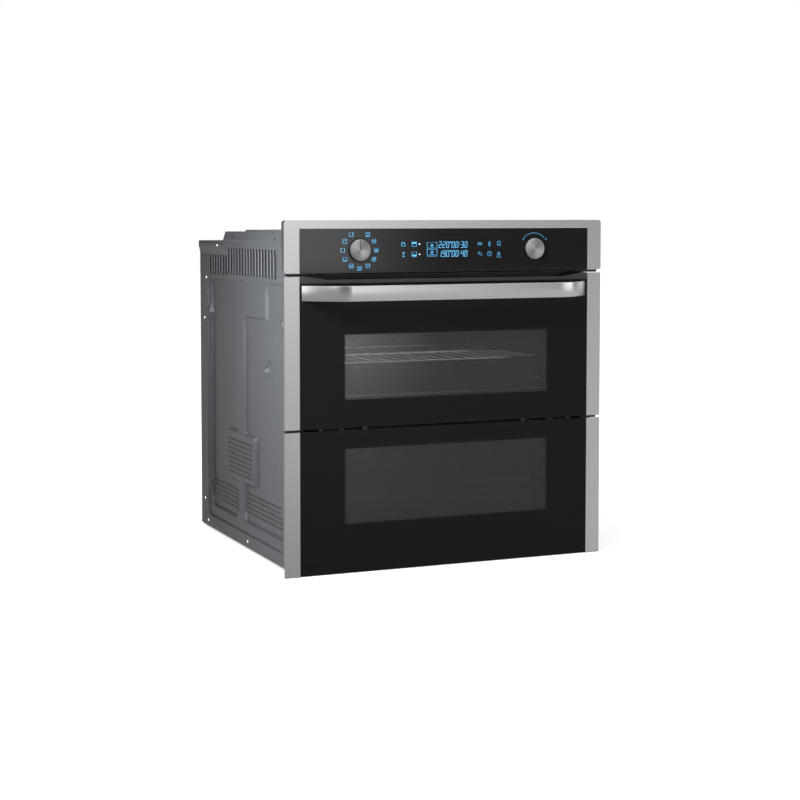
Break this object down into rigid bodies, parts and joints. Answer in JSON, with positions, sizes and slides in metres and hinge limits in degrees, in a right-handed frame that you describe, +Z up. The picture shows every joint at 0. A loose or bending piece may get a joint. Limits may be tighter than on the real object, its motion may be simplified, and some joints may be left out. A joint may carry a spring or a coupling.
{
  "type": "wall oven",
  "caption": "Built-in electric wall oven with a split drop-down door, bow handle, dial control panel, convection cavity and slotted steel body.",
  "frame": {"origin": "middle of the base plate's underside, across the width and 280 mm behind the door face, on the shelf line that carries the oven", "axes": "+Z up, +X to the right seen from the front, front faces -Y"},
  "size_m": [0.595, 0.616, 0.595],
  "materials": {
    "brushed_steel": "fine horizontal brushing",
    "galvanised_steel": "dull zinc-coated sheet",
    "black_glass": "polished, backed in black",
    "inner_glass": "polished, lightly tinted",
    "black_paint": "satin black enamel paint",
    "black_plastic": "fine moulded texture",
    "enamel": "glossy speckled enamel",
    "chrome_wire": "bright chrome",
    "cast_aluminium": "plain mill finish",
    "glass_wool": "fibrous",
    "silicone": "matt",
    "circuit_board": "lacquered board"
  },
  "bodies": {
    "cabinet": {"base_plate": "galvanised_steel", "left_side_panel": "galvanised_steel", "right_side_panel": "galvanised_steel", "top_cover": "galvanised_steel", "rear_panel": "galvanised_steel", "rear_fan_cover": "galvanised_steel", "terminal_block": "black_plastic", "front_frame": "black_paint", "cavity_shell": "enamel", "cavity_back_wall": "enamel", "insulation_blanket": "glass_wool", "door_gasket": "silicone", "fan_baffle": "enamel", "upper_ring_heater": "cast_aluminium", "lower_ring_heater": "cast_aluminium", "grill_element": "cast_aluminium", "lamp_lens": "inner_glass", "right_shelf_guide": "chrome_wire", "left_shelf_guide": "chrome_wire", "upper_fan_motor": "cast_aluminium", "lower_fan_motor": "cast_aluminium", "blower_housing": "galvanised_steel", "blower_motor": "cast_aluminium", "air_deflector": "black_paint", "control_frame": "brushed_steel", "control_glass": "black_glass", "control_housing": "black_plastic", "display_board": "circuit_board", "left_dial_encoder": "black_plastic", "right_dial_encoder": "black_plastic", "right_hinge_receiver": "galvanised_steel", "left_hinge_receiver": "galvanised_steel"},
    "lower_door": {"lower_door_glass": "black_glass", "lower_door_frame": "black_paint", "lower_inner_glass": "inner_glass", "lower_right_trim": "brushed_steel", "lower_left_trim": "brushed_steel", "right_hinge_arm": "galvanised_steel", "left_hinge_arm": "galvanised_steel", "right_split_pin": "galvanised_steel", "left_split_pin": "galvanised_steel"},
    "upper_door": {"upper_door_glass": "black_glass", "upper_door_frame": "black_paint", "upper_inner_glass": "inner_glass", "upper_right_trim": "brushed_steel", "upper_left_trim": "brushed_steel", "upper_door_cap": "black_plastic", "door_handle": "brushed_steel"},
    "release_lever": {"release_lever": "black_plastic"},
    "latch_bar": {"latch_bar": "galvanised_steel"},
    "left_dial_shaft": {"left_dial_shaft": "cast_aluminium"},
    "left_dial": {"left_dial": "brushed_steel"},
    "right_dial_shaft": {"right_dial_shaft": "cast_aluminium"},
    "right_dial": {"right_dial": "brushed_steel"},
    "upper_fan": {"upper_fan_wheel": "cast_aluminium"},
    "lower_fan": {"lower_fan_wheel": "cast_aluminium"},
    "blower_impeller": {"cooling_impeller": "cast_aluminium"},
    "rack": {"wire_rack": "chrome_wire"},
    "tray": {"baking_tray": "enamel"},
    "divider": {"divider": "enamel"}
  },
  "joints": [
    {"name": "door_hinge", "type": "hinge", "parent": "cabinet", "child": "lower_door", "pos_m": [0, -0.26, 0.007], "axis": [1, 0, 0], "range_deg": [0, 90], "stiffness_Nm_per_rad": 12, "springref_deg": -22.92},
    {"name": "upper_leaf_hinge", "type": "hinge", "parent": "lower_door", "child": "upper_door", "pos_m": [0, -0.279, 0.2398], "axis": [1, 0, 0], "range_deg": [0, 90], "stiffness_Nm_per_rad": 5, "springref_deg": -22.92},
    {"name": "lever_press", "type": "slide", "parent": "upper_door", "child": "release_lever", "axis": [0, -1, 0], "range_m": [0, 0.0025], "stiffness_N_per_m": 600, "springref_m": -0.003},
    {"name": "latch_slide", "type": "slide", "parent": "upper_door", "child": "latch_bar", "axis": [1, 0, 0], "range_m": [0, 0.005]},
    {"name": "left_dial_push", "type": "slide", "parent": "cabinet", "child": "left_dial_shaft", "axis": [0, -1, 0], "range_m": [0, 0.011]},
    {"name": "left_dial_turn", "type": "hinge", "parent": "left_dial_shaft", "child": "left_dial", "pos_m": [-0.164, -0.267, 0.5395], "axis": [0, -1, 0], "continuous": true},
    {"name": "right_dial_push", "type": "slide", "parent": "cabinet", "child": "right_dial_shaft", "axis": [0, -1, 0], "range_m": [0, 0.011]},
    {"name": "right_dial_turn", "type": "hinge", "parent": "right_dial_shaft", "child": "right_dial", "pos_m": [0.164, -0.267, 0.5395], "axis": [0, -1, 0], "continuous": true},
    {"name": "upper_fan_spin", "type": "hinge", "parent": "cabinet", "child": "upper_fan", "pos_m": [0, 0.15, 0.338], "axis": [0, 1, 0], "continuous": true},
    {"name": "lower_fan_spin", "type": "hinge", "parent": "cabinet", "child": "lower_fan", "pos_m": [0, 0.15, 0.15], "axis": [0, 1, 0], "continuous": true},
    {"name": "blower_spin", "type": "hinge", "parent": "cabinet", "child": "blower_impeller", "pos_m": [0, -0.168, 0.503], "axis": [1, 0, 0], "continuous": true},
    {"name": "rack_slide", "type": "slide", "parent": "cabinet", "child": "rack", "axis": [0, -1, 0], "range_m": [0, 0.018]},
    {"name": "tray_slide", "type": "slide", "parent": "cabinet", "child": "tray", "axis": [0, -1, 0], "range_m": [0, 0.018]},
    {"name": "divider_slide", "type": "slide", "parent": "cabinet", "child": "divider", "axis": [0, -1, 0], "range_m": [0, 0.008]}
  ],
  "couplings": [
    {"joint": "latch_slide", "follows": "lever_press", "ratio": 2}
  ]
}
